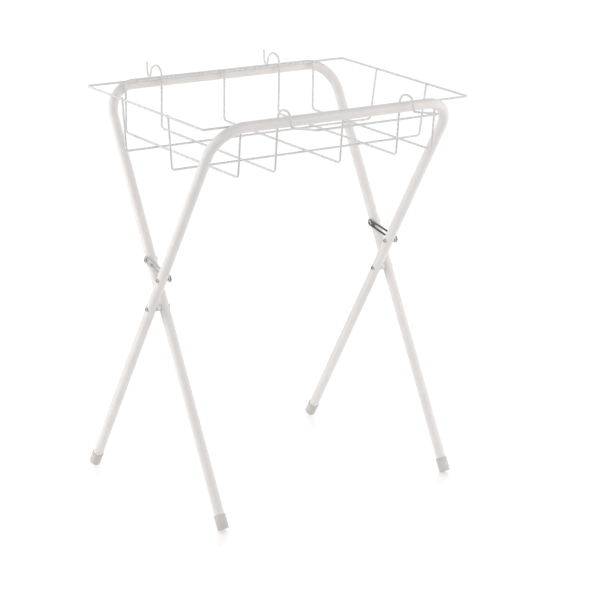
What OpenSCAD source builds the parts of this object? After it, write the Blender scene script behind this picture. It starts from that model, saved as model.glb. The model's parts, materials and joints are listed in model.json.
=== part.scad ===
// Folding bath stand: two bent-tube frames crossed at mid height, with a
// welded wire basket that hooks over both top bars and carries a rail in front.
// Millimetres. +X runs along the top bars, +Y from the front bar to the rear
// bar, +Z up. The floor is z = 0 and the origin is the centre of the footprint.

/* [Frames] */
// Height of the top bars' centreline above the floor
bar_height = 855; // [780:5:920]
// Distance between the front and rear bars, centre to centre
bar_spread = 474; // [440:2:500]
// Distance between the two legs of one frame, centre to centre
leg_spacing = 600; // [580:2:640]
// Outside diameter of the frame tube
tube_d = 22; // [20:0.5:23]
// Wall of the frame tube
tube_wall = 1.2; // [0.9:0.1:2]
// Centreline radius of the two bends of a frame
tube_bend = 69; // [60:1:72]
// Gap between two crossing legs
leg_gap = 10; // [9:0.5:13]
// Angle the frames turn through from open to folded, in degrees
fold_travel = 53; // [45:1:53]

/* [Feet] */
// Outside diameter of a foot cap
cap_d = 25; // [24:0.5:28]
// Length of a foot cap along the leg
cap_length = 31; // [24:1:40]
// Thickness of the closed end of a foot cap
cap_end = 4; // [3:0.5:6]
// Rounding of the closed end's rim
cap_round = 3; // [2:0.5:4]
// Depth of the flat worn where a cap meets the floor
cap_flat = 0.8; // [0.5:0.1:1.2]

/* [Pivots and stays] */
// Diameter of the pivot rivets
pivot_d = 6; // [5:0.5:8]
// Diameter of a rivet head
head_d = 10; // [9:0.5:12]
// Height of a rivet head
head_height = 1.6; // [1.2:0.1:2.4]
// Diameter of a rivet's rolled end
rolled_d = 8.6; // [8.2:0.1:10]
// Outside diameter of the spacer bushes
spacer_d = 15; // [12:0.5:18]
// Distance from the pivot up the rear frame's leg to the stay's rivet
stay_anchor = 104; // [98:1:112]
// Distance from the pivot up the front frame's leg to the stay's pin
stay_pin = 84; // [78:1:88]
// Diameter of the stay's rivet and pin
stay_rivet_d = 5.5; // [4.5:0.5:6]
// Width of a stay
stay_width = 16; // [14:0.5:18]
// Thickness of a stay
stay_thick = 2; // [1.5:0.1:2.5]
// Width of the slot in a stay
slot_width = 6.2; // [6:0.1:7]

/* [Basket] */
// Diameter of the basket wire
wire_d = 4.5; // [4:0.1:5]
// Length of the rim along the bars, centre to centre
rim_length = 676; // [668:1:720]
// Distance of the rim's long sides from the bars' centrelines, inwards
rim_inset = 15; // [12:0.1:15.2]
// Tilt of the basket, rear side up, in degrees
basket_tilt = 1.15; // [0:0.05:1.5]
// Bend radius of the rim's corners
rim_corner = 6; // [5:1:25]
// Depth of the basket, rim to floor wires
basket_depth = 109; // [90:1:130]
// How much the long sides lean in, top to bottom
side_lean = 4; // [0:0.5:10]
// How much the short ends lean in, top to bottom
end_lean = 12; // [5:0.5:20]
// Bend radius of the basket wires
wire_bend = 8; // [6:0.5:12]
// Distance of the left cross wire from the middle
left_wire = 246; // [200:1:247]
// Distance of the right cross wire from the middle
right_wire = 252; // [200:1:253]
// How far the middle cross wire stands to the right of the middle
middle_wire = 8; // [0:1:20]
// Distance of the hook wires from the middle
hook_wire_x = 156; // [130:1:180]
// Distance of the two long wires from the middle
long_wire_y = 88; // [60:1:120]

/* [Hooks and rail] */
// Height of the hooks above the rim
hook_rise = 24; // [20:1:30]
// Width of the rear hooks over the bar, centre to centre
rear_hook_width = 44; // [42:1:52]
// Width of the small upturned ends of the rear hooks
hook_end_width = 13; // [12:1:20]
// How far the bottoms of the rear hooks' ends lie below the rim
hook_end_drop = 4; // [2:1:12]
// How far the rear hooks' tips lean out
hook_tip_out = 6; // [0:1:10]
// Width of the front hooks over the bar, centre to centre
front_hook_width = 41; // [38:1:46]
// How far the front hooks' feet lie below the rim
foot_drop = 6.5; // [4:0.5:12]
// How far the front hooks' feet stand out from the hooks' outer legs
foot_out = 5; // [3:0.5:8]
// Bend radius at the front hooks' feet
foot_bend = 6; // [4:0.5:8]
// How far the hook wires run on along the rail's arms
arm_start = 12; // [8:1:20]
// Distance of the rail in front of the front bar's centreline
rail_reach = 112; // [90:1:130]
// Height of the rail above the rim
rail_rise = 7; // [0:1:15]

/* [Fits] */
// Radial clearance of a rivet in a leg that turns on it
running_fit = 0.1; // [0.05:0.01:0.1]
// Gap between neighbouring pieces that slide past each other
slip_gap = 0.3; // [0.2:0.05:0.5]
// Depth that welded wires sink into each other
weld_sink = 0.2; // [0.1:0.05:0.3]
// How much thinner a bend is than the straights it joins, in radius
corner_step = 0.02; // [0.02:0.01:0.04]
// How far a bend runs into the straights it joins
corner_overrun = 0.4; // [0.2:0.1:0.5]

/* [Hidden] */
$fn = 48;

LEFT = -1;
RIGHT = 1;
FRONT = -1;
REAR = 1;
WHITE = [0.93, 0.93, 0.92];
GREY = [0.72, 0.69, 0.66];
ZINC = [0.55, 0.55, 0.56];

tube_r = tube_d / 2;
bore_r = tube_r - tube_wall;
wire_r = wire_d / 2;
cap_r = cap_d / 2;

// Both frames lean by the same angle and cross at half the bar height
lean = atan(bar_spread / bar_height);
leg_length = sqrt(bar_height * bar_height + bar_spread * bar_spread);
pivot_up = leg_length / 2;
// The front frame stands this far to the left of the middle, the rear frame to the right
frame_shift = (tube_d + leg_gap) / 2;

// A cap's closed end meets the leg's axis this far above the floor, along the leg
cap_rim_low = (cap_r - cap_round) * sin(lean) + cap_round - cap_round * cos(lean);
cap_up = (cap_rim_low - cap_flat) / cos(lean);
tube_end = cap_up + cap_end;

// The front of the rim lies this high on the front frame's bends, which lean in below the bar
rim_clear = tube_r + wire_r + slip_gap;
rim_y = bar_spread / 2 - rim_inset;
rim_front_z = bar_height + (rim_clear - rim_inset * cos(lean)) / sin(lean);
rim_z = rim_front_z + rim_y * sin(basket_tilt);
weld_step = wire_d - weld_sink;
// Cross wires run up the inner side of the rim
wire_top_y = rim_y - weld_step;
wire_low_y = wire_top_y - side_lean;
end_top_x = rim_length / 2 - weld_step;
end_low_x = end_top_x - end_lean;
wire_top_z = wire_r / 2;

// The front hooks' feet, where the rail's arms start
foot_y = -wire_top_y - front_hook_width - foot_out;
rail_y = -bar_spread / 2 - rail_reach;
arm_angle = atan((rail_rise + foot_drop) / (foot_y - rail_y));

// The rear hooks' tips, and where they and the rail end along Y once the basket is tilted
hook_end_y = wire_top_y + rear_hook_width + hook_end_width;
tip_y = hook_end_y + hook_tip_out - wire_r;
tip_lean = atan((tip_y - hook_end_y) / (hook_rise + hook_end_drop));
tip_reach = tip_y * cos(basket_tilt) - hook_rise * sin(basket_tilt) + wire_r * cos(tip_lean - basket_tilt);
rail_front = rail_y * cos(basket_tilt) - rail_rise * sin(basket_tilt) - wire_r;

// Footprint centre: halfway between the rail's front and the rear hooks' tips
origin_y = -(tip_reach + rail_front) / 2;

// Stay: where the pin stands from the stay's rivet, open and folded
open_angle = 2 * lean;
function pin_from_anchor(a) = [stay_pin * cos(a) - stay_anchor, stay_pin * sin(a)];
pin_open = pin_from_anchor(open_angle);
pin_shut = pin_from_anchor(open_angle - fold_travel);
stay_angle = atan2(pin_open[1], -pin_open[0]);
slot_far = norm(pin_open);
slot_near = norm(pin_shut);

// Places a model built around the crossing over the footprint's centre
module placed() {
    translate([0, origin_y, 0]) children();
}

// Unit vector from a to b
function toward(a, b) = (b - a) / norm(b - a);
// Signed turn at a corner, in degrees
function turn(d1, d2) = atan2(d1[0] * d2[1] - d1[1] * d2[0], d1 * d2);

// One rounded corner of a round bar in the XY plane. Corners that aren't square
// take a step: they are that much thinner than the straights and run a little
// way into them, so that the pieces of the bar join cleanly.
module bar_corner(p, d1, d2, bend, r, step) {
    t = turn(d1, d2);
    side = sign(t);
    tangent = p - d1 * bend * tan(abs(t) / 2);
    centre = tangent + side * bend * [-d1[1], d1[0]];
    start = side > 0 ? tangent - centre : p + d2 * bend * tan(abs(t) / 2) - centre;
    overrun = step > 0 ? asin(corner_overrun / bend) : 0;
    translate([centre[0], centre[1], 0])
        rotate([0, 0, atan2(start[1], start[0]) - overrun])
            rotate_extrude(angle = abs(t) + 2 * overrun) translate([bend, 0]) circle(r - step);
}

// Straight round bar in the XY plane between two points
module bar_straight(a, b, r) {
    translate([a[0], a[1], 0])
        rotate([0, 0, atan2(b[1] - a[1], b[0] - a[0])])
            rotate([0, 90, 0]) cylinder(r = r, h = norm(b - a));
}

// How much of a straight a corner uses up
function setback(p, i, bends) = (i == 0 || i == len(p) - 1) ? 0
    : bends[i - 1] * tan(abs(turn(toward(p[i - 1], p[i]), toward(p[i], p[i + 1]))) / 2);

// Round bar along a flat path, with one bend radius for each inner corner
module bent_bar(p, bends, r, step = 0) {
    for (i = [0 : len(p) - 2]) {
        d = toward(p[i], p[i + 1]);
        bar_straight(p[i] + d * setback(p, i, bends), p[i + 1] - d * setback(p, i + 1, bends), r);
    }
    for (i = [1 : len(p) - 2])
        bar_corner(p[i], toward(p[i - 1], p[i]), toward(p[i], p[i + 1]), bends[i - 1], r, step);
}

// Turns a path drawn as [along Y, up Z] into place at one X
module in_side_plane(x) {
    translate([x, 0, 0]) rotate([90, 0, 90]) children();
}

// Puts a frame's own plane, with its top bar along X and its legs along -Z, into its lean
module leaning(end) {
    translate([end * frame_shift, end * bar_spread / 2, bar_height])
        rotate([end * -lean, 0, 0]) children();
}

// Puts one leg's axis, drawn along +Z from the floor, into its lean
module on_leg(end, side) {
    leaning(end) translate([side * leg_spacing / 2, 0, -leg_length]) children();
}

// The tube of a frame, solid, from a distance up its legs to the top bar
module tube_form(r, start) {
    x = leg_spacing / 2;
    foot = start - leg_length;
    rotate([90, 0, 0])
        bent_bar([[-x, foot], [-x, 0], [x, 0], [x, foot]], [tube_bend, tube_bend], r);
}

// Hole through both walls of a frame's two legs
module leg_holes(up, d) {
    for (side = [LEFT, RIGHT])
        translate([side * leg_spacing / 2 - tube_d, 0, up - leg_length])
            rotate([0, 90, 0]) cylinder(d = d, h = 2 * tube_d);
}

module frame_tube(end, stay_up) {
    difference() {
        leaning(end) tube_form(tube_r, tube_end);
        leaning(end) tube_form(bore_r, tube_end - tube_d);
        leaning(end) leg_holes(pivot_up, pivot_d + 2 * running_fit);
        leaning(end) leg_holes(pivot_up + stay_up, stay_rivet_d + 2 * running_fit);
    }
}

module rear_frame_tube() {
    color(WHITE) frame_tube(REAR, stay_anchor);
}

module front_frame_tube() {
    color(WHITE) frame_tube(FRONT, stay_pin);
}

// Plastic cap over the end of a leg, rounded at its closed end and flat where it stands
module foot_cap(end, side) {
    color(GREY) difference() {
        on_leg(end, side) translate([0, 0, cap_up]) {
            translate([0, 0, cap_round]) cylinder(r = cap_r, h = cap_length - cap_round);
            cylinder(r = cap_r - cap_round, h = cap_length);
            translate([0, 0, cap_round]) rotate_extrude() translate([cap_r - cap_round, 0]) circle(cap_round);
        }
        on_leg(end, side) translate([0, 0, tube_end]) cylinder(r = tube_r + running_fit, h = cap_length);
        translate([side * leg_spacing / 2, 0, -cap_d])
            translate([-leg_spacing / 4, -bar_spread, 0]) cube([leg_spacing / 2, 2 * bar_spread, cap_d]);
    }
}

// Low dome whose flat side faces +Z at z = 0
module rivet_head() {
    dome_r = (head_d * head_d / 4 + head_height * head_height) / (2 * head_height);
    intersection() {
        translate([0, 0, dome_r - head_height]) sphere(dome_r);
        translate([0, 0, -head_height]) cylinder(d = head_d + 1, h = head_height);
    }
}

// Plain shank along +X from x0 to x1 with a domed head outside x0
module headed_pin(x0, x1, d) {
    rotate([0, 90, 0]) {
        translate([0, 0, x0]) rivet_head();
        translate([0, 0, x0 - head_height / 2]) cylinder(d = d, h = x1 - x0 + head_height / 2);
    }
}

// Headed pin whose far end is rolled out into a ring outside x1
module rivet(x0, x1, d) {
    headed_pin(x0, x1, d);
    rotate([0, 90, 0]) translate([0, 0, x1]) difference() {
        translate([0, 0, -slip_gap / 2]) cylinder(d = rolled_d, h = head_height + slip_gap / 2);
        translate([0, 0, head_height / 3]) cylinder(d = d - 2, h = head_height);
    }
}

function leg_x(end, side) = side * leg_spacing / 2 + end * frame_shift;

// Puts children at a distance up a frame's legs from the pivot, in the Y-Z plane
module up_leg(end, up) {
    translate([0, end * up * sin(lean), bar_height / 2 + up * cos(lean)]) children();
}

module pivot_rivet(side) {
    color(ZINC) up_leg(REAR, 0)
        rivet(leg_x(FRONT, side) - tube_r - slip_gap, leg_x(REAR, side) + tube_r + slip_gap, pivot_d);
}

module pivot_spacer(side) {
    color(WHITE) up_leg(REAR, 0)
        translate([leg_x(FRONT, side) + tube_r + slip_gap, 0, 0]) rotate([0, 90, 0]) difference() {
            cylinder(d = spacer_d, h = leg_gap - 2 * slip_gap);
            translate([0, 0, -1]) cylinder(r = pivot_d / 2 + running_fit, h = leg_gap + 2);
        }
}

// The stays stand against the rear frame's legs
function stay_x(side) = leg_x(REAR, side) - tube_r - slip_gap - stay_thick - 1;

// Slotted stay: swings on its rivet in the rear frame's leg
module stay(side) {
    color(ZINC) translate([stay_x(side), 0, 0])
        up_leg(REAR, stay_anchor)
            rotate([-lean - stay_angle, 0, 0])
                rotate([0, 90, 0]) difference() {
                    union() {
                        cylinder(d = stay_width, h = stay_thick);
                        translate([0, -stay_width / 2, 0]) cube([slot_far, stay_width, stay_thick]);
                        translate([slot_far, 0, 0]) cylinder(d = stay_width, h = stay_thick);
                    }
                    translate([0, 0, -1]) cylinder(d = stay_rivet_d + 2 * running_fit, h = stay_thick + 2);
                    translate([slot_near, -slot_width / 2, -1])
                        cube([slot_far - slot_near, slot_width, stay_thick + 2]);
                    for (u = [slot_near, slot_far])
                        translate([u, 0, -1]) cylinder(d = slot_width, h = stay_thick + 2);
                }
}

// Rivet that a stay swings on, through the rear frame's leg
module stay_rivet(side) {
    color(ZINC) up_leg(REAR, stay_anchor)
        rivet(stay_x(side) - slip_gap, leg_x(REAR, side) + tube_r + slip_gap, stay_rivet_d);
}

// Pin through the front frame's leg that stops the slot when the stand is open
module stay_pin_piece(side) {
    color(ZINC) up_leg(FRONT, stay_pin)
        headed_pin(leg_x(FRONT, side) - tube_r - slip_gap, stay_x(side) - slip_gap, stay_rivet_d);
}

// Puts the basket, drawn with its rim at z = 0, on the frames
module hung() {
    translate([0, 0, rim_z]) rotate([basket_tilt, 0, 0]) children();
}

// Closed wire rectangle that the other basket wires hang from
module basket_rim() {
    x = rim_length / 2;
    c = rim_corner;
    color(WHITE) hung()
        bent_bar([[0, -rim_y], [x, -rim_y], [x, rim_y], [-x, rim_y], [-x, -rim_y], [0, -rim_y]],
            [c, c, c, c], wire_r);
}

// Plain U-shaped wire from the front of the rim down and up to the rear
module cross_wire(x) {
    color(WHITE) hung() in_side_plane(x)
        bent_bar([[-wire_top_y, wire_top_z], [-wire_low_y, -basket_depth],
            [wire_low_y, -basket_depth], [wire_top_y, wire_top_z]], [wire_bend, wire_bend],
            wire_r, corner_step);
}

// U-shaped wire that runs on over both bars as hooks
module hook_wire(side) {
    rear_out = wire_top_y + rear_hook_width;
    front_out = -wire_top_y - front_hook_width;
    rear_bend = rear_hook_width / 2 - 1;
    front_bend = front_hook_width / 2 - 1;
    end_bend = hook_end_width / 2 - 1;
    arm_y = foot_y - arm_start * cos(arm_angle);
    arm_z = -foot_drop + arm_start * sin(arm_angle);
    color(WHITE) hung() in_side_plane(side * hook_wire_x)
        bent_bar([[tip_y, hook_rise], [hook_end_y, -hook_end_drop], [rear_out, -hook_end_drop],
            [rear_out, hook_rise], [wire_top_y, hook_rise], [wire_low_y, -basket_depth],
            [-wire_low_y, -basket_depth], [-wire_top_y, hook_rise], [front_out, hook_rise],
            [foot_y, -foot_drop], [arm_y, arm_z]],
            [end_bend, end_bend, rear_bend, rear_bend,
            wire_bend, wire_bend, front_bend, front_bend - 1, foot_bend],
            wire_r, corner_step);
}

// Wire along the basket, under the cross wires
module long_wire(end) {
    low_z = -basket_depth - weld_step;
    color(WHITE) hung() translate([0, end * long_wire_y, 0]) rotate([90, 0, 0])
        bent_bar([[-end_top_x, wire_top_z], [-end_low_x, low_z], [end_low_x, low_z], [end_top_x, wire_top_z]],
            [wire_bend, wire_bend], wire_r, corner_step);
}

// Rail in front of the stand, on two arms that carry on from the front hooks
module towel_rail() {
    arm = (foot_y - rail_y) / cos(arm_angle) - arm_start;
    x = hook_wire_x;
    color(WHITE) hung() translate([0, rail_y, rail_rise]) rotate([-arm_angle, 0, 0])
        bent_bar([[-x, arm], [-x, 0], [x, 0], [x, arm]], [wire_bend, wire_bend], wire_r);
}

placed() rear_frame_tube();
placed() front_frame_tube();
placed() foot_cap(REAR, LEFT);  // foot_cap_front_left
placed() foot_cap(REAR, RIGHT);  // foot_cap_front_right
placed() foot_cap(FRONT, LEFT);  // foot_cap_rear_left
placed() foot_cap(FRONT, RIGHT);  // foot_cap_rear_right
placed() pivot_rivet(LEFT);  // pivot_rivet_left
placed() pivot_rivet(RIGHT);  // pivot_rivet_right
placed() pivot_spacer(LEFT);  // pivot_spacer_left
placed() pivot_spacer(RIGHT);  // pivot_spacer_right
placed() stay(LEFT);  // stay_left
placed() stay(RIGHT);  // stay_right
placed() stay_rivet(LEFT);  // stay_rivet_left
placed() stay_rivet(RIGHT);  // stay_rivet_right
placed() stay_pin_piece(LEFT);  // stay_pin_left
placed() stay_pin_piece(RIGHT);  // stay_pin_right
placed() basket_rim();
placed() cross_wire(-left_wire);  // cross_wire_left
placed() cross_wire(middle_wire);  // cross_wire_middle
placed() cross_wire(right_wire);  // cross_wire_right
placed() hook_wire(LEFT);  // hook_wire_left
placed() hook_wire(RIGHT);  // hook_wire_right
placed() long_wire(FRONT);  // long_wire_front
placed() long_wire(REAR);  // long_wire_rear
placed() towel_rail();
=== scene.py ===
import json
import math

import bmesh
import bpy
from mathutils import Matrix, Quaternion, Vector, noise


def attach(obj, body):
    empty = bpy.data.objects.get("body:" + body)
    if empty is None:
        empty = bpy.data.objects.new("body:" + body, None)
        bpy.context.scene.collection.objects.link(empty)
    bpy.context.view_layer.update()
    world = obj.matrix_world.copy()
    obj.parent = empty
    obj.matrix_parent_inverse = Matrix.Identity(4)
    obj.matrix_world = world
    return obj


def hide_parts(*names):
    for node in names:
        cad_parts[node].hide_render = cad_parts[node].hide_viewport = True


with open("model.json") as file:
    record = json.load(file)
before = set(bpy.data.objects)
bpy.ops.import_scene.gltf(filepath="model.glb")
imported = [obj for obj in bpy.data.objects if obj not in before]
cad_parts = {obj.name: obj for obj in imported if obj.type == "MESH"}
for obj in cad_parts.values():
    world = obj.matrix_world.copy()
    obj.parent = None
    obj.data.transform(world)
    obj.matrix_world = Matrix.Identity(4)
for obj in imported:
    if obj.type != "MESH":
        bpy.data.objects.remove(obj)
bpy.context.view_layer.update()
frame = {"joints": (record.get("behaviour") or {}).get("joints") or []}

# ---------------------------------------------------------------- sizes, in millimetres and radians
MM = 0.001
LEFT, RIGHT = -1, 1
FRONT, REAR = -1, 1
SIDES = (("left", LEFT), ("right", RIGHT))
X_AXIS = Vector((1, 0, 0))
Y_AXIS = Vector((0, 1, 0))

BAR_HEIGHT = 855.0
BAR_SPREAD = 474.0
LEG_SPACING = 600.0
TUBE_R = 11.0
TUBE_BEND = 69.0
LEG_GAP = 10.0

CAP_R = 12.5
CAP_LENGTH = 31.0
CAP_END = 4.0
CAP_ROUND = 3.0
CAP_FLAT = 0.8

PIVOT_D = 6.0
HEAD_D = 10.0
HEAD_HEIGHT = 1.6
ROLLED_D = 8.6
SPACER_D = 15.0
STAY_ANCHOR = 104.0
STAY_PIN = 84.0
STAY_RIVET_D = 5.5
STAY_WIDTH = 16.0
STAY_THICK = 2.0
STAY_GAP = 1.0
SLOT_WIDTH = 6.2
FOLD_TRAVEL = math.radians(53.0)

WIRE_R = 2.25
RIM_LENGTH = 676.0
RIM_INSET = 15.0
RIM_CORNER = 6.0
BASKET_TILT = math.radians(1.15)
BASKET_DEPTH = 109.0
SIDE_LEAN = 4.0
END_LEAN = 12.0
WIRE_BEND = 8.0
CROSS_WIRES = {"left": -246.0, "middle": 8.0, "right": 252.0}
HOOK_WIRE_X = 156.0
LONG_WIRE_Y = 88.0
HOOK_RISE = 24.0
HOOK_EASE = 1.0
REAR_HOOK_WIDTH = 44.0
HOOK_END_WIDTH = 13.0
HOOK_END_DROP = 4.0
HOOK_TIP_OUT = 6.0
FRONT_HOOK_WIDTH = 41.0
FOOT_DROP = 6.5
FOOT_OUT = 5.0
FOOT_BEND = 6.0
ARM_START = 12.0
RAIL_REACH = 112.0
RAIL_RISE = 7.0
SLIP_GAP = 0.3
RUNNING_FIT = 0.1
WELD_SINK = 0.2

# ---------------------------------------------------------------- places that follow from them
LEAN = math.atan(BAR_SPREAD / BAR_HEIGHT)
LEG_LENGTH = math.hypot(BAR_HEIGHT, BAR_SPREAD)
FRAME_SHIFT = (2 * TUBE_R + LEG_GAP) / 2
CAP_RIM_LOW = (CAP_R - CAP_ROUND) * math.sin(LEAN) + CAP_ROUND - CAP_ROUND * math.cos(LEAN)
CAP_UP = (CAP_RIM_LOW - CAP_FLAT) / math.cos(LEAN)
TUBE_END = CAP_UP + CAP_END
RIM_CLEAR = TUBE_R + WIRE_R + SLIP_GAP
RIM_X = RIM_LENGTH / 2
RIM_Y = BAR_SPREAD / 2 - RIM_INSET
RIM_Z = (BAR_HEIGHT + (RIM_CLEAR - RIM_INSET * math.cos(LEAN)) / math.sin(LEAN)
         + RIM_Y * math.sin(BASKET_TILT))
WELD_STEP = 2 * WIRE_R - WELD_SINK
WIRE_TOP_Y = RIM_Y - WELD_STEP
WIRE_LOW_Y = WIRE_TOP_Y - SIDE_LEAN
END_TOP_X = RIM_X - WELD_STEP
END_LOW_X = END_TOP_X - END_LEAN
WIRE_TOP_Z = WIRE_R / 2
LOW_Z = -BASKET_DEPTH - WELD_STEP
REAR_OUT = WIRE_TOP_Y + REAR_HOOK_WIDTH
HOOK_END_Y = REAR_OUT + HOOK_END_WIDTH
TIP_Y = HOOK_END_Y + HOOK_TIP_OUT - WIRE_R
FRONT_OUT = -WIRE_TOP_Y - FRONT_HOOK_WIDTH
FOOT_Y = FRONT_OUT - FOOT_OUT
RAIL_Y = -BAR_SPREAD / 2 - RAIL_REACH
ARM_ANGLE = math.atan((RAIL_RISE + FOOT_DROP) / (FOOT_Y - RAIL_Y))
ARM_Y = FOOT_Y - ARM_START * math.cos(ARM_ANGLE)
ARM_Z = -FOOT_DROP + ARM_START * math.sin(ARM_ANGLE)
REAR_BEND = REAR_HOOK_WIDTH / 2 - HOOK_EASE
FRONT_BEND = FRONT_HOOK_WIDTH / 2 - HOOK_EASE
END_BEND = HOOK_END_WIDTH / 2 - HOOK_EASE

# Everything is drawn with the legs' crossing over the origin. The fold joint turns about that
# crossing, so its place says where the drawing's origin lies in the frame.
FOLD = next(j for j in frame["joints"] if j["name"] == "fold")
ORIGIN = Vector((0, FOLD["pos_m"][1], 0))


def pin_from_anchor(angle):
    """Where the stay's pin is, seen from the stay's rivet, with the frames open by an angle."""
    return Vector((STAY_PIN * math.cos(angle) - STAY_ANCHOR, STAY_PIN * math.sin(angle)))


OPEN_ANGLE = 2 * LEAN
PIN_OPEN = pin_from_anchor(OPEN_ANGLE)
STAY_ANGLE = math.atan2(PIN_OPEN.y, -PIN_OPEN.x)
SLOT_FAR = PIN_OPEN.length
SLOT_NEAR = pin_from_anchor(OPEN_ANGLE - FOLD_TRAVEL).length


def framed(p):
    """A point drawn in millimetres, as a point of the frame in metres."""
    return Vector(p) * MM + ORIGIN


def hung(p):
    """The same for a point drawn with the basket's rim at z = 0, before its tilt."""
    c, s = math.cos(BASKET_TILT), math.sin(BASKET_TILT)
    return framed((p[0], p[1] * c - p[2] * s, p[1] * s + p[2] * c + RIM_Z))


def leaning(end, x, up):
    """A point of a leaning frame's plane, up measured from its top bar."""
    return framed((x + end * FRAME_SHIFT, end * (BAR_SPREAD / 2 + up * math.sin(LEAN)),
                   BAR_HEIGHT + up * math.cos(LEAN)))


def leg_x(end, side):
    """Where the axis of a leg is."""
    return side * LEG_SPACING / 2 + end * FRAME_SHIFT


def on_leg(end, x, up):
    """A point at x in line with a leg, up measured along the leg from the crossing."""
    return framed((x, end * up * math.sin(LEAN), BAR_HEIGHT / 2 + up * math.cos(LEAN)))


def stay_x(side):
    """Where the left face of a stay is, beside the rear frame's leg."""
    return leg_x(REAR, side) - TUBE_R - SLIP_GAP - STAY_THICK - STAY_GAP


# ---------------------------------------------------------------- shader nodes
# Where most of a noise's values lie
NOISE_BAND = (0.3, 0.7)


def add_node(nt, kind, **values):
    """A node of the given kind, with values set on its own sockets."""
    node = nt.nodes.new("ShaderNode" + kind)
    for key, value in values.items():
        node.inputs[key.replace("_", " ")].default_value = value
    return node


def add_noise(nt, coords, scale, detail, stretch=None):
    if stretch:
        mapping = add_node(nt, "Mapping", Scale=stretch)
        nt.links.new(coords, mapping.inputs["Vector"])
        coords = mapping.outputs["Vector"]
    node = add_node(nt, "TexNoise", Scale=scale, Detail=detail)
    nt.links.new(coords, node.inputs["Vector"])
    return node.outputs["Fac"]


def add_ramp(nt, fac, stops):
    node = add_node(nt, "ValToRGB")
    for element, (place, colour) in zip(node.color_ramp.elements, stops):
        element.position = place
        element.color = (*colour, 1)
    nt.links.new(fac, node.inputs["Fac"])
    return node.outputs["Color"]


def add_range(nt, fac, tones, band=NOISE_BAND):
    """Turns a value that runs over the band into one that runs over the tones."""
    node = add_node(nt, "MapRange", From_Min=band[0], From_Max=band[1],
                    To_Min=tones[0], To_Max=tones[1])
    nt.links.new(fac, node.inputs["Value"])
    return node.outputs["Result"]


def add_math(nt, operation, a, b):
    node = add_node(nt, "Math")
    node.operation = operation
    nt.links.new(a, node.inputs[0])
    nt.links.new(b, node.inputs[1])
    return node.outputs[0]


def add_vector_math(nt, operation, vector, fixed):
    node = add_node(nt, "VectorMath")
    node.operation = operation
    nt.links.new(vector, node.inputs[0])
    node.inputs[1].default_value = fixed
    return node.outputs["Value"]


def add_mix(nt, fac, first, second):
    node = add_node(nt, "MixShader")
    nt.links.new(fac, node.inputs["Fac"])
    nt.links.new(first, node.inputs[1])
    nt.links.new(second, node.inputs[2])
    return node.outputs[0]


def by_ray(nt, seen, mirrored, other):
    """One shader for the camera, also through glass, one for mirrors and one for all other light."""
    path = add_node(nt, "LightPath")
    direct = add_math(nt, "MAXIMUM", path.outputs["Is Camera Ray"],
                      path.outputs["Is Transmission Ray"])
    return add_mix(nt, direct, add_mix(nt, path.outputs["Is Glossy Ray"], other, mirrored), seen)


def grey(level):
    return (level, level, level, 1)


# ---------------------------------------------------------------- materials
def mottled(name, tones, cloud, rough, sheen, relief, **uniform):
    """A material that varies a little in tone, roughness and relief.

    tones: two stops, each (place, colour), over the noise called cloud. rough: the least and the
    most roughness, over the noise called sheen. relief: (noise, strength, depth in metres) of each
    layer. A noise is (grains per metre, detail) and, if it is drawn out, a stretch along x, y, z.
    """
    mat = bpy.data.materials.new(name)
    mat.use_nodes = True
    nt = mat.node_tree
    shader = nt.nodes["Principled BSDF"]
    for key, value in uniform.items():
        shader.inputs[key.replace("_", " ")].default_value = value
    coords = add_node(nt, "TexCoord").outputs["Object"]
    nt.links.new(add_ramp(nt, add_noise(nt, coords, *cloud), tones), shader.inputs["Base Color"])
    nt.links.new(add_range(nt, add_noise(nt, coords, *sheen), rough), shader.inputs["Roughness"])
    normal = None
    for grain, strength, depth in relief:
        bump = add_node(nt, "Bump", Strength=strength, Distance=depth)
        nt.links.new(add_noise(nt, coords, *grain), bump.inputs["Height"])
        if normal:
            nt.links.new(normal, bump.inputs["Normal"])
        normal = bump.outputs["Normal"]
    nt.links.new(normal, shader.inputs["Normal"])
    return mat


# A second orange peel lies on the first: how many times as fine and as deep it is
FINE_PEEL = 4.5
FINE_DEPTH = 0.4


def coated(name, pale, dull, rough, peel, depth, metallic):
    """Powder coat: orange peel a millimetre or two across and a slightly uneven film."""
    relief = (((peel, 2), 0.30, depth), ((peel * FINE_PEEL, 2), 0.16, depth * FINE_DEPTH))
    return mottled(name, tones=((0.32, dull), (0.66, pale)), cloud=(22, 3), rough=rough,
                   sheen=(95, 4), relief=relief, Metallic=metallic, Specular_IOR_Level=0.5,
                   Coat_Weight=0.12, Coat_Roughness=0.12)


def plastic(name, pale, dark, grain):
    """Moulded plastic: faint mottling and a fine matt grain."""
    return mottled(name, tones=((0.3, dark), (0.7, pale)), cloud=(60, 4, (1, 1, 0.35)),
                   rough=(0.36, 0.50), sheen=(240, 3), relief=(((grain, 3), 0.35, 0.00004),),
                   Specular_IOR_Level=0.45)


def plated(name, pale, dark, rough, lines):
    """Tumbled and plated steel: cloudy plating with fine rolling lines."""
    return mottled(name, tones=((0.3, dark), (0.72, pale)), cloud=(130, 5), rough=rough,
                   sheen=(420, 4), Metallic=1.0,
                   relief=(((900, 3, lines), 0.18, 0.00002), ((700, 2), 0.12, 0.00002)))


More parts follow.
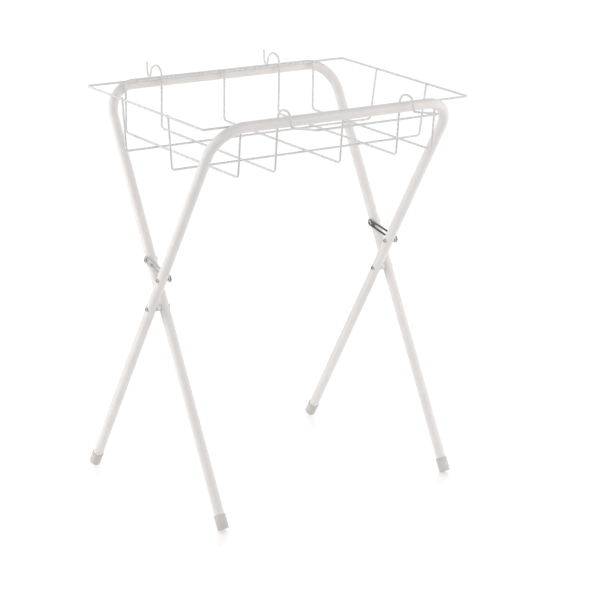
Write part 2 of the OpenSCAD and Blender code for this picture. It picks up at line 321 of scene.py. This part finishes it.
WHITE_TUBE = coated("powder_coat_tube", pale=(0.82, 0.795, 0.783), dull=(0.78, 0.755, 0.743),
                    rough=(0.26, 0.38), peel=620, depth=0.00005, metallic=0.0)
WHITE_WIRE = coated("powder_coat_wire", pale=(0.79, 0.785, 0.777), dull=(0.745, 0.74, 0.732),
                    rough=(0.22, 0.34), peel=700, depth=0.000015, metallic=0.2)
GREY_CAP = plastic("grey_moulded_cap", pale=(0.66, 0.635, 0.61), dark=(0.57, 0.548, 0.528),
                   grain=1500)
WHITE_BUSH = plastic("white_moulded_bush", pale=(0.80, 0.785, 0.76), dark=(0.74, 0.725, 0.70),
                     grain=1300)
ZINC_STAY = plated("plated_stay", pale=(0.70, 0.695, 0.685), dark=(0.58, 0.575, 0.565),
                   rough=(0.09, 0.15), lines=(1, 0.12, 1))
ZINC_RIVET = plated("plated_rivet", pale=(0.66, 0.655, 0.645), dark=(0.52, 0.515, 0.505),
                    rough=(0.10, 0.17), lines=(0.3, 1, 1))

# ---------------------------------------------------------------- mesh builders
# How far the rounded end of a wire stands out, as a share of its radius, and its steps in degrees
END_BULGE = 0.55
END_STEPS = (22.5, 45, 67.5)
# A direction with this much of x in it lies too close to x to take its normal from there
NEARLY_X = 0.9


def finish_piece(name, bm, body, nodes, material, sharp=38):
    """Makes a mesh into a smooth piece. Edges that bend more than sharp, in degrees, stay hard."""
    bmesh.ops.recalc_face_normals(bm, faces=bm.faces)
    mesh = bpy.data.meshes.new(name)
    bm.to_mesh(mesh)
    bm.free()
    mesh.materials.append(material)
    for face in mesh.polygons:
        face.use_smooth = True
    mesh.set_sharp_from_angle(angle=math.radians(sharp))
    piece = bpy.data.objects.new(name, mesh)
    bpy.context.scene.collection.objects.link(piece)
    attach(piece, body)
    if nodes:
        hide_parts(*nodes)
    return piece


def rounded(points, radii, step, closed=False):
    """(point, direction) pairs in metres along a path, with its corners turned to radii.

    The radii are in millimetres, and step is the most degrees from one pair to the next.
    """
    out, n = [], len(points)
    for i, p in enumerate(points):
        if not closed and i in (0, n - 1):
            other = points[1] if i == 0 else points[-2]
            out.append((p, (other - p).normalized() * (1 if i == 0 else -1)))
            continue
        a = (p - points[i - 1]).normalized()
        b = (points[(i + 1) % n] - p).normalized()
        r = radii[i if closed else i - 1] * MM
        angle = a.angle(b)
        axis = a.cross(b).normalized()
        start = p - a * r * math.tan(angle / 2)
        centre = start + axis.cross(a) * r
        steps = max(2, math.ceil(math.degrees(angle) / step))
        for k in range(steps + 1):
            turn = Quaternion(axis, angle * k / steps)
            out.append((centre + turn @ (start - centre), turn @ a))
    return out


def add_ring(bm, centre, normal, binormal, r, sides):
    return [bm.verts.new(centre + (normal * math.cos(t) + binormal * math.sin(t)) * r)
            for t in (2 * math.pi * k / sides for k in range(sides))]


def bridge(bm, a, b):
    n = len(a)
    for k in range(n):
        bm.faces.new((a[k], a[(k + 1) % n], b[(k + 1) % n], b[k]))


def fan(bm, ring, tip):
    n = len(ring)
    for k in range(n):
        bm.faces.new((ring[k], ring[(k + 1) % n], tip))


def close_end(bm, ring, spot, r, sides, bulge):
    """Closes a bar's end at a spot (point, way out, normal, binormal), flat if the bulge is 0."""
    p, way, normal, binormal = spot
    if bulge:
        for t in (math.radians(step) for step in END_STEPS):
            grown = add_ring(bm, p + way * r * bulge * math.sin(t), normal, binormal,
                             r * math.cos(t), sides)
            bridge(bm, ring, grown)
            ring = grown
    fan(bm, ring, bm.verts.new(p + way * r * bulge))


def sweep(path, r, sides, bulge=END_BULGE, closed=False):
    """A round bar along (point, direction) pairs, its ends closed unless it is a loop."""
    bm = bmesh.new()
    rings, spots = [], []
    direction = path[0][1]
    normal = direction.orthogonal().normalized()
    if abs(direction.x) < NEARLY_X:
        normal = (X_AXIS - direction * direction.x).normalized()
    for p, d in path:
        normal = (direction.rotation_difference(d) @ normal).normalized()
        direction = d
        spots.append((p, d, normal, d.cross(normal)))
        rings.append(add_ring(bm, p, normal, d.cross(normal), r, sides))
    for a, b in zip(rings, rings[1:]):
        bridge(bm, a, b)
    if closed:
        bridge(bm, rings[-1], rings[0])
        return bm
    p, d, normal, binormal = spots[0]
    close_end(bm, rings[0], (p, -d, normal, binormal), r, sides, bulge)
    close_end(bm, rings[-1], spots[-1], r, sides, bulge)
    return bm


def lathe(profile, origin, axis, sides):
    """Turns (along, radius) pairs in millimetres round an axis. Radius 0 closes an end."""
    bm = bmesh.new()
    axis = axis.normalized()
    normal = X_AXIS if abs(axis.x) < NEARLY_X else Y_AXIS
    normal = (normal - axis * normal.dot(axis)).normalized()
    binormal = axis.cross(normal)
    last = None
    for along, r in profile:
        centre = origin + axis * along * MM
        if r == 0:
            now = bm.verts.new(centre)
            if last:
                fan(bm, last, now)
        else:
            now = add_ring(bm, centre, normal, binormal, r * MM, sides)
            if isinstance(last, list):
                bridge(bm, last, now)
            elif last:
                fan(bm, now, last)
        last = now
    return bm


def arc(centre, r, start, end, steps):
    """(along, radius) pairs on an arc, angles in degrees from the axis's direction."""
    turns = [math.radians(start + (end - start) * k / steps) for k in range(steps + 1)]
    return [(centre[0] + r * math.cos(t), centre[1] + r * math.sin(t)) for t in turns]


# ---------------------------------------------------------------- frames
# The sides of a tube, and the most degrees between its rings in a bend
TUBE_SIDES = 48
TUBE_STEP = 3.0


def frame_piece(name, end, body, node):
    x, foot = LEG_SPACING / 2, TUBE_END - LEG_LENGTH
    corners = [leaning(end, *p) for p in ((-x, foot), (-x, 0), (x, 0), (x, foot))]
    path = rounded(corners, [TUBE_BEND] * 2, TUBE_STEP)
    bm = sweep(path, TUBE_R * MM, TUBE_SIDES, bulge=0)
    return finish_piece(name, bm, body, [node], WHITE_TUBE)


frame_piece("tube_frame_rear", REAR, "rear_frame", "rear_frame_tube")
frame_piece("tube_frame_front", FRONT, "front_frame", "front_frame_tube")

# ---------------------------------------------------------------- foot caps
CAP_SIDES = 56
# A shallow dish in the cap's end, as (up, radius)
CAP_DISH = [(0.5, 0), (0.5, 5.6), (0.0, 6.4)]
# A groove round the cap, as (up from its end, out from its side)
CAP_GROOVE = [(4.6, 0), (5.0, -0.35), (5.7, -0.35), (6.1, 0)]
# A soft lip round its mouth, as (down from the mouth, out from its side)
CAP_LIP = [(4.6, -0.15), (4.0, 0.25), (1.0, 0.30), (0.35, 0.12), (0, -0.35)]
# The mouth's inner edge, as (down from the mouth, out from the bore)
CAP_MOUTH = [(0, 0.35), (0.5, 0)]
# Keeps the bore's floor and the tube's end out of one plane
FACE_STEP = 0.2


def cap_piece(name, end, side, body, node):
    foot = leaning(end, side * LEG_SPACING / 2, CAP_UP - LEG_LENGTH)
    axis = leaning(end, side * LEG_SPACING / 2, 0) - foot
    bore = TUBE_R + RUNNING_FIT
    profile = CAP_DISH + arc((CAP_ROUND, CAP_R - CAP_ROUND), CAP_ROUND, 180, 90, 6)
    profile += [(up, CAP_R + out) for up, out in CAP_GROOVE]
    profile += [(CAP_LENGTH - down, CAP_R + out) for down, out in CAP_LIP]
    profile += [(CAP_LENGTH - down, bore + out) for down, out in CAP_MOUTH]
    profile += [(CAP_END + FACE_STEP, bore), (CAP_END + FACE_STEP, 0)]
    bm = lathe(profile, foot, axis, CAP_SIDES)
    # The lowest edge is worn flat on the floor
    for v in bm.verts:
        v.co.z = max(v.co.z, 0.0)
    return finish_piece(name, bm, body, [node], GREY_CAP, sharp=32)


# The rear frame's feet stand at the front, and the front frame's at the rear
for word, side in SIDES:
    cap_piece("cap_front_" + word, REAR, side, "rear_frame", "foot_cap_front_" + word)
    cap_piece("cap_rear_" + word, FRONT, side, "front_frame", "foot_cap_rear_" + word)

# ---------------------------------------------------------------- rivets and pins
RIVET_SIDES = 36
# The head's dome, as shares of its height and of its radius, and its small rolled edge
DOME = ((1, 0), (0.98, 0.22), (0.90, 0.46), (0.74, 0.68), (0.50, 0.86), (0.26, 0.97))
HEAD_EDGE = ((0.12, 0), (0, 0.2))
# A rivet's rolled end, as (out from the leg, in from the roll's rim), and the hollow inside it,
# as (out from the leg, in from the shank's side)
ROLL = ((-0.1, 0.45), (0.25, 0), (0.85, 0.1), (1.35, 0.6), (HEAD_HEIGHT, 1.25))
ROLL_HOLLOW = ((1.35, 0.75), (0.6, 1.1), (-1.6, 1.15), (-1.9, 1.6))
PIN_CHAMFER = 0.3


def rivet_piece(name, x0, x1, d, end, up, body, node, rolled=True):
    """A rivet across a leg, with its head's underside at x0 and its far end from x1 on."""
    head, shank = HEAD_D / 2, d / 2
    profile = [(x0 - HEAD_HEIGHT * height, head * share) for height, share in DOME]
    profile += [(x0 - out, head - inward) for out, inward in HEAD_EDGE]
    profile += [(x0, shank)]
    if rolled:
        profile += [(x1 + ROLL[0][0], shank)]
        profile += [(x1 + out, ROLLED_D / 2 - inward) for out, inward in ROLL]
        profile += [(x1 + out, shank - inward) for out, inward in ROLL_HOLLOW]
        profile += [(x1 + ROLL_HOLLOW[-1][0], 0)]
    else:
        profile += [(x1 - PIN_CHAMFER, shank), (x1, shank - PIN_CHAMFER), (x1, 0)]
    bm = lathe(profile, on_leg(end, 0, up), X_AXIS, RIVET_SIDES)
    return finish_piece(name, bm, body, [node], ZINC_RIVET, sharp=40)


# ---------------------------------------------------------------- bushes
BUSH_SIDES = 48
BUSH_CHAMFER = 0.5
# The flange at each end slopes down to a waist that is this much deeper
BUSH_FLANGE = 2.4
BUSH_SLOPE = 0.4
BUSH_WAIST = 0.5
# Points nearer than this, in metres, become one
SAME_PLACE = 1e-7


def bush_piece(name, side, node):
    x0 = leg_x(FRONT, side) + TUBE_R + SLIP_GAP
    x1 = x0 + LEG_GAP - 2 * SLIP_GAP
    r, bore = SPACER_D / 2, PIVOT_D / 2 + RUNNING_FIT
    c, waist_from = BUSH_CHAMFER, BUSH_FLANGE + BUSH_SLOPE
    profile = [(x0, bore + c), (x0, r - c), (x0 + c, r), (x0 + BUSH_FLANGE, r),
               (x0 + waist_from, r - BUSH_WAIST), (x1 - waist_from, r - BUSH_WAIST),
               (x1 - BUSH_FLANGE, r), (x1 - c, r), (x1, r - c), (x1, bore + c), (x1 - c, bore),
               (x0 + c, bore), (x0, bore + c)]
    bm = lathe(profile, on_leg(REAR, 0, 0), X_AXIS, BUSH_SIDES)
    bmesh.ops.remove_doubles(bm, verts=bm.verts, dist=SAME_PLACE)
    return finish_piece(name, bm, "rear_frame", [node], WHITE_BUSH, sharp=30)


# ---------------------------------------------------------------- stays
# The radius of the rounded edges, its steps, and the angle in degrees from which an edge gets one
STAY_EDGE = 0.35
STAY_EDGE_STEPS = 3
STAY_EDGE_ANGLE = 50
STAY_END_STEPS = 24
SLOT_END_STEPS = 16
HOLE_SIDES = 28


def loop_edges(bm, points):
    verts = [bm.verts.new(p) for p in points]
    return [bm.edges.new((verts[k], verts[(k + 1) % len(verts)])) for k in range(len(verts))]


def half_round(u, r, start, steps):
    turns = [start + math.pi * k / steps for k in range(steps + 1)]
    return [(u + r * math.cos(t), r * math.sin(t)) for t in turns]


def stadium(u0, u1, r, steps):
    return half_round(u1, r, -math.pi / 2, steps) + half_round(u0, r, math.pi / 2, steps)


def stay_piece(name, side, body, node):
    anchor = on_leg(REAR, stay_x(side), STAY_ANCHOR)
    tilt = LEAN + STAY_ANGLE
    along = Vector((0, -math.sin(tilt), -math.cos(tilt)))
    across = X_AXIS.cross(along)
    hole_r = STAY_RIVET_D / 2 + RUNNING_FIT
    turns = [2 * math.pi * k / HOLE_SIDES for k in range(HOLE_SIDES)]
    outlines = (stadium(0, SLOT_FAR, STAY_WIDTH / 2, STAY_END_STEPS),
                [(hole_r * math.cos(t), hole_r * math.sin(t)) for t in turns],
                stadium(SLOT_NEAR, SLOT_FAR, SLOT_WIDTH / 2, SLOT_END_STEPS))
    bm = bmesh.new()
    edges = []
    for outline in outlines:
        edges += loop_edges(bm, [anchor + (along * u + across * v) * MM for u, v in outline])
    bmesh.ops.triangle_fill(bm, use_beauty=True, use_dissolve=True, edges=edges)
    grown = bmesh.ops.extrude_face_region(bm, geom=list(bm.faces))
    for v in (g for g in grown["geom"] if isinstance(g, bmesh.types.BMVert)):
        v.co += X_AXIS * STAY_THICK * MM
    piece = finish_piece(name, bm, body, [node], ZINC_STAY, sharp=30)
    bevel = piece.modifiers.new("rounded_edges", "BEVEL")
    bevel.width = STAY_EDGE * MM
    bevel.segments = STAY_EDGE_STEPS
    bevel.limit_method = "ANGLE"
    bevel.angle_limit = math.radians(STAY_EDGE_ANGLE)
    bevel.harden_normals = True
    return piece


for word, side in SIDES:
    front_face = leg_x(FRONT, side) - TUBE_R - SLIP_GAP
    rear_face = leg_x(REAR, side) + TUBE_R + SLIP_GAP
    stay_face = stay_x(side) - SLIP_GAP
    rivet_piece("rivet_pivot_" + word, front_face, rear_face, PIVOT_D, REAR, 0,
                "rear_frame", "pivot_rivet_" + word)
    bush_piece("bush_pivot_" + word, side, "pivot_spacer_" + word)
    stay_piece("slotted_stay_" + word, side, word + "_stay", "stay_" + word)
    rivet_piece("rivet_stay_" + word, stay_face, rear_face, STAY_RIVET_D, REAR, STAY_ANCHOR,
                "rear_frame", "stay_rivet_" + word)
    rivet_piece("pin_stay_" + word, front_face, stay_face, STAY_RIVET_D, FRONT, STAY_PIN,
                "front_frame", "stay_pin_" + word, rolled=False)

# ---------------------------------------------------------------- basket
# The sides of a wire, and the most degrees between its rings in a bend
WIRE_SIDES = 24
WIRE_STEP = 7.5


def wire_piece(name, corners, radii, node, closed=False):
    """A wire through corners that are drawn with the rim at z = 0."""
    path = rounded([hung(p) for p in corners], radii, WIRE_STEP, closed)
    bm = sweep(path, WIRE_R * MM, WIRE_SIDES, closed=closed)
    return finish_piece(name, bm, "basket", [node], WHITE_WIRE)


wire_piece("wire_rim", [(-RIM_X, -RIM_Y, 0), (RIM_X, -RIM_Y, 0), (RIM_X, RIM_Y, 0), (-RIM_X, RIM_Y, 0)],
           [RIM_CORNER] * 4, "basket_rim", closed=True)
for word, x in CROSS_WIRES.items():
    wire_piece("wire_cross_" + word,
               [(x, -WIRE_TOP_Y, WIRE_TOP_Z), (x, -WIRE_LOW_Y, -BASKET_DEPTH),
                (x, WIRE_LOW_Y, -BASKET_DEPTH), (x, WIRE_TOP_Y, WIRE_TOP_Z)],
               [WIRE_BEND] * 2, "cross_wire_" + word)

# As (y, up): from the rear hook's tip over the rear bar, down, along and up the basket, and over
# the front bar to the towel rail's arm
HOOK_PATH = [(TIP_Y, HOOK_RISE), (HOOK_END_Y, -HOOK_END_DROP), (REAR_OUT, -HOOK_END_DROP),
             (REAR_OUT, HOOK_RISE), (WIRE_TOP_Y, HOOK_RISE), (WIRE_LOW_Y, -BASKET_DEPTH),
             (-WIRE_LOW_Y, -BASKET_DEPTH), (-WIRE_TOP_Y, HOOK_RISE), (FRONT_OUT, HOOK_RISE),
             (FOOT_Y, -FOOT_DROP), (ARM_Y, ARM_Z)]
HOOK_BENDS = [END_BEND, END_BEND, REAR_BEND, REAR_BEND, WIRE_BEND, WIRE_BEND,
              FRONT_BEND, FRONT_BEND - HOOK_EASE, FOOT_BEND]
for word, side in SIDES:
    wire_piece("wire_hook_" + word, [(side * HOOK_WIRE_X, y, z) for y, z in HOOK_PATH],
               HOOK_BENDS, "hook_wire_" + word)

for word, end in (("front", FRONT), ("rear", REAR)):
    y = end * LONG_WIRE_Y
    wire_piece("wire_long_" + word,
               [(-END_TOP_X, y, WIRE_TOP_Z), (-END_LOW_X, y, LOW_Z),
                (END_LOW_X, y, LOW_Z), (END_TOP_X, y, WIRE_TOP_Z)],
               [WIRE_BEND] * 2, "long_wire_" + word)

wire_piece("wire_rail",
           [(-HOOK_WIRE_X, ARM_Y, ARM_Z), (-HOOK_WIRE_X, RAIL_Y, RAIL_RISE),
            (HOOK_WIRE_X, RAIL_Y, RAIL_RISE), (HOOK_WIRE_X, ARM_Y, ARM_Z)],
           [WIRE_BEND] * 2, "towel_rail")

# ---------------------------------------------------------------- welds in the basket
# Half sizes along x, y and z of the beads on the rim's sides, in the basket's floor and on the
# rim's ends
SIDE_BEAD = (2.5, 1.5, 1.9)
FLOOR_BEAD = (2.3, 2.3, 1.3)
END_BEAD = (1.5, 2.5, 1.9)
# The beads in the floor add this to their seeds
FLOOR_SEEDS = 40
# How lumpy a bead is, in how fine a noise, and how far the noise moves on for the next seed
LUMP = 0.10
LUMP_SCALE = 1.7
SEED_STEP = (3.1, 1.3)


def add_bead(bm, centre, size, seed):
    """A small coated weld where two wires meet: a lump that runs out along both."""
    made = bmesh.ops.create_icosphere(bm, subdivisions=3, radius=1.0)["verts"]
    shift = Vector((seed * SEED_STEP[0], seed * SEED_STEP[1], 0))
    for v in made:
        lump = 1 + LUMP * noise.noise(v.co * LUMP_SCALE + shift)
        v.co = centre + Vector(v.co[i] * size[i] * lump * MM for i in range(3))


bm = bmesh.new()
seed = 0
for x in (*CROSS_WIRES.values(), -HOOK_WIRE_X, HOOK_WIRE_X):
    for end in (FRONT, REAR):
        seed += 1
        add_bead(bm, hung((x, end * (RIM_Y - WELD_STEP / 2), 0)), SIDE_BEAD, seed)
        add_bead(bm, hung((x, end * LONG_WIRE_Y, -BASKET_DEPTH - WELD_STEP / 2)), FLOOR_BEAD,
                 seed + FLOOR_SEEDS)
for side in (LEFT, RIGHT):
    for end in (FRONT, REAR):
        seed += 1
        add_bead(bm, hung((side * (RIM_X - WELD_STEP / 2), end * LONG_WIRE_Y, 0)), END_BEAD, seed)
finish_piece("weld_beads", bm, "basket", [], WHITE_WIRE)

# ---------------------------------------------------------------- floor
FLOOR_REACH = 14.0
# As the camera sees it: a lit and glowing white that turns glossy at a flat angle
FLOOR_LIT, FLOOR_GLOW = 0.42, 0.68
FLOOR_GLOSS, FLOOR_ROUGH, FLOOR_TURN = 1.4, 0.10, 0.22
# As the object's shiny parts mirror it: painted shade, darker towards the front and nearly black
# in a patch at the rear, though nothing shades the floor there, so that the wires' front sides and
# the right stay mirror it dark. Bands are in metres, along the way to the front and out from the
# patch's centre.
FRONT_WAY = (-0.35, -0.937, 0.0)
FRONT_SHADE_BAND, FRONT_SHADE_TONES = (0.3, 1.1), (0.95, 0.15)
SHADE_PATCH_CENTRE = (-0.25, 1.45, 0.0)
SHADE_PATCH_BAND, SHADE_PATCH_TONES = (0.68, 0.86), (0.02, 1.0)
# As it throws light back on the object
FLOOR_BOUNCE = 0.82


def floor_material():
    mat = bpy.data.materials.new("studio_floor")
    mat.use_nodes = True
    nt = mat.node_tree
    nt.nodes.clear()

    plain = add_node(nt, "AddShader")
    nt.links.new(add_node(nt, "BsdfDiffuse", Color=grey(FLOOR_LIT)).outputs[0], plain.inputs[0])
    nt.links.new(add_node(nt, "Emission", Strength=FLOOR_GLOW).outputs[0], plain.inputs[1])
    gloss = add_node(nt, "BsdfGlossy", Color=grey(FLOOR_GLOSS), Roughness=FLOOR_ROUGH)
    flat_angle = add_node(nt, "LayerWeight", Blend=FLOOR_TURN)
    seen = add_mix(nt, flat_angle.outputs["Facing"], plain.outputs[0], gloss.outputs[0])

    # Painted shade that only mirror images see: a dark band towards the front and a dark patch at the
    # rear
    place = add_node(nt, "NewGeometry").outputs["Position"]
    front = add_vector_math(nt, "DOT_PRODUCT", place, FRONT_WAY)
    shade_patch = add_vector_math(nt, "DISTANCE", place, SHADE_PATCH_CENTRE)
    mirrored = add_node(nt, "Emission")
    nt.links.new(add_math(nt, "MULTIPLY", add_range(nt, front, FRONT_SHADE_TONES, FRONT_SHADE_BAND),
                          add_range(nt, shade_patch, SHADE_PATCH_TONES, SHADE_PATCH_BAND)),
                 mirrored.inputs["Strength"])

    bounce = add_node(nt, "BsdfDiffuse", Color=grey(FLOOR_BOUNCE))
    out = add_node(nt, "OutputMaterial")
    nt.links.new(by_ray(nt, seen, mirrored.outputs[0], bounce.outputs[0]), out.inputs["Surface"])
    return mat


bm = bmesh.new()
bmesh.ops.create_grid(bm, x_segments=1, y_segments=1, size=FLOOR_REACH)
mesh = bpy.data.meshes.new("floor")
bm.to_mesh(mesh)
bm.free()
mesh.materials.append(floor_material())
floor = bpy.data.objects.new("floor", mesh)
bpy.context.scene.collection.objects.link(floor)

# ---------------------------------------------------------------- world
# Strengths at the sides and overhead, as light and as a mirror image. The band in which one turns
# into the other goes by a direction's height, from 0 at the horizon to 1 overhead.
SKY_GREY = 0.8
SKY_TONES = (1.24, 0.70)
MIRROR_TONES = (1.0, 0.30)
SKY_BAND = (0.35, 0.85)


def studio_world():
    world = bpy.data.worlds.new("studio")
    world.use_nodes = True
    nt = world.node_tree
    nt.nodes.clear()
    split = add_node(nt, "SeparateXYZ")
    nt.links.new(add_node(nt, "TexCoord").outputs["Generated"], split.inputs[0])
    skies = []
    for tones in (SKY_TONES, MIRROR_TONES):
        sky = add_node(nt, "Background", Color=grey(SKY_GREY))
        nt.links.new(add_range(nt, split.outputs["Z"], tones, SKY_BAND), sky.inputs["Strength"])
        skies.append(sky.outputs[0])
    lit, mirrored = skies
    seen = add_node(nt, "Background", Color=grey(1.0))
    out = add_node(nt, "OutputWorld")
    nt.links.new(by_ray(nt, seen.outputs[0], mirrored, lit), out.inputs["Surface"])
    return world


bpy.context.scene.world = studio_world()

# ---------------------------------------------------------------- lamps
LAMP_SIZE = (1.2, 1.6)
LAMP_COLOUR = (1, 0.985, 0.975)
# Name, place and aim in metres, power in watts
LAMPS = (
    ("left_rear", (-1.3, 0.75, 0.8), (-0.3, 0.0, 0.5), 9.2),
    ("right_front", (1.25, -1.0, 0.8), (0.3, 0.0, 0.45), 7.2),
    ("right_rear", (1.4, 0.9, 0.8), (0.3, 0.0, 0.5), 9.0),
)


def lamp(name, place, target, watts):
    data = bpy.data.lights.new(name, "AREA")
    data.shape = "RECTANGLE"
    data.size, data.size_y = LAMP_SIZE
    data.energy, data.color = watts, LAMP_COLOUR
    light = bpy.data.objects.new(name, data)
    bpy.context.scene.collection.objects.link(light)
    light.location = place
    light.rotation_mode = "QUATERNION"
    light.rotation_quaternion = (Vector(target) - Vector(place)).to_track_quat("-Z", "Y")
    light.visible_camera = False
    light.visible_glossy = False


for spec in LAMPS:
    lamp(*spec)

# ---------------------------------------------------------------- camera
# The focal length is in pixels of the square image, the other lengths are in millimetres, but the
# clip distances are in metres. Angles are in radians. The aim is measured from the legs' crossing,
# along the camera's own right and up.
FOCAL_PIXELS = 2028.928
IMAGE = 600.0
SENSOR = 36.0
YAW, PITCH, ROLL = 0.636529, 0.301770, 0.027202
AIM_RIGHT, AIM_UP, DISTANCE = 57.722, -29.053, 4439.12
CLIP_START, CLIP_END = 0.1, 100

back = Vector((-math.sin(YAW) * math.cos(PITCH), -math.cos(YAW) * math.cos(PITCH), math.sin(PITCH)))
right = Vector((math.cos(YAW), -math.sin(YAW), 0))
up = back.cross(right)
aim = Vector((0, 0, BAR_HEIGHT / 2)) + right * AIM_RIGHT + up * AIM_UP
turned_right = right * math.cos(ROLL) + up * math.sin(ROLL)
turned_up = up * math.cos(ROLL) - right * math.sin(ROLL)
cam_data = bpy.data.cameras.new("camera")
cam_data.sensor_width = SENSOR
cam_data.lens = FOCAL_PIXELS * SENSOR / IMAGE
cam_data.clip_start, cam_data.clip_end = CLIP_START, CLIP_END
cam = bpy.data.objects.new("camera", cam_data)
bpy.context.scene.collection.objects.link(cam)
cam.matrix_world = (Matrix.Translation(framed(aim + back * DISTANCE))
                    @ Matrix((turned_right, turned_up, back)).transposed().to_4x4())
bpy.context.scene.camera = cam
bpy.context.scene.view_settings.view_transform = "Standard"
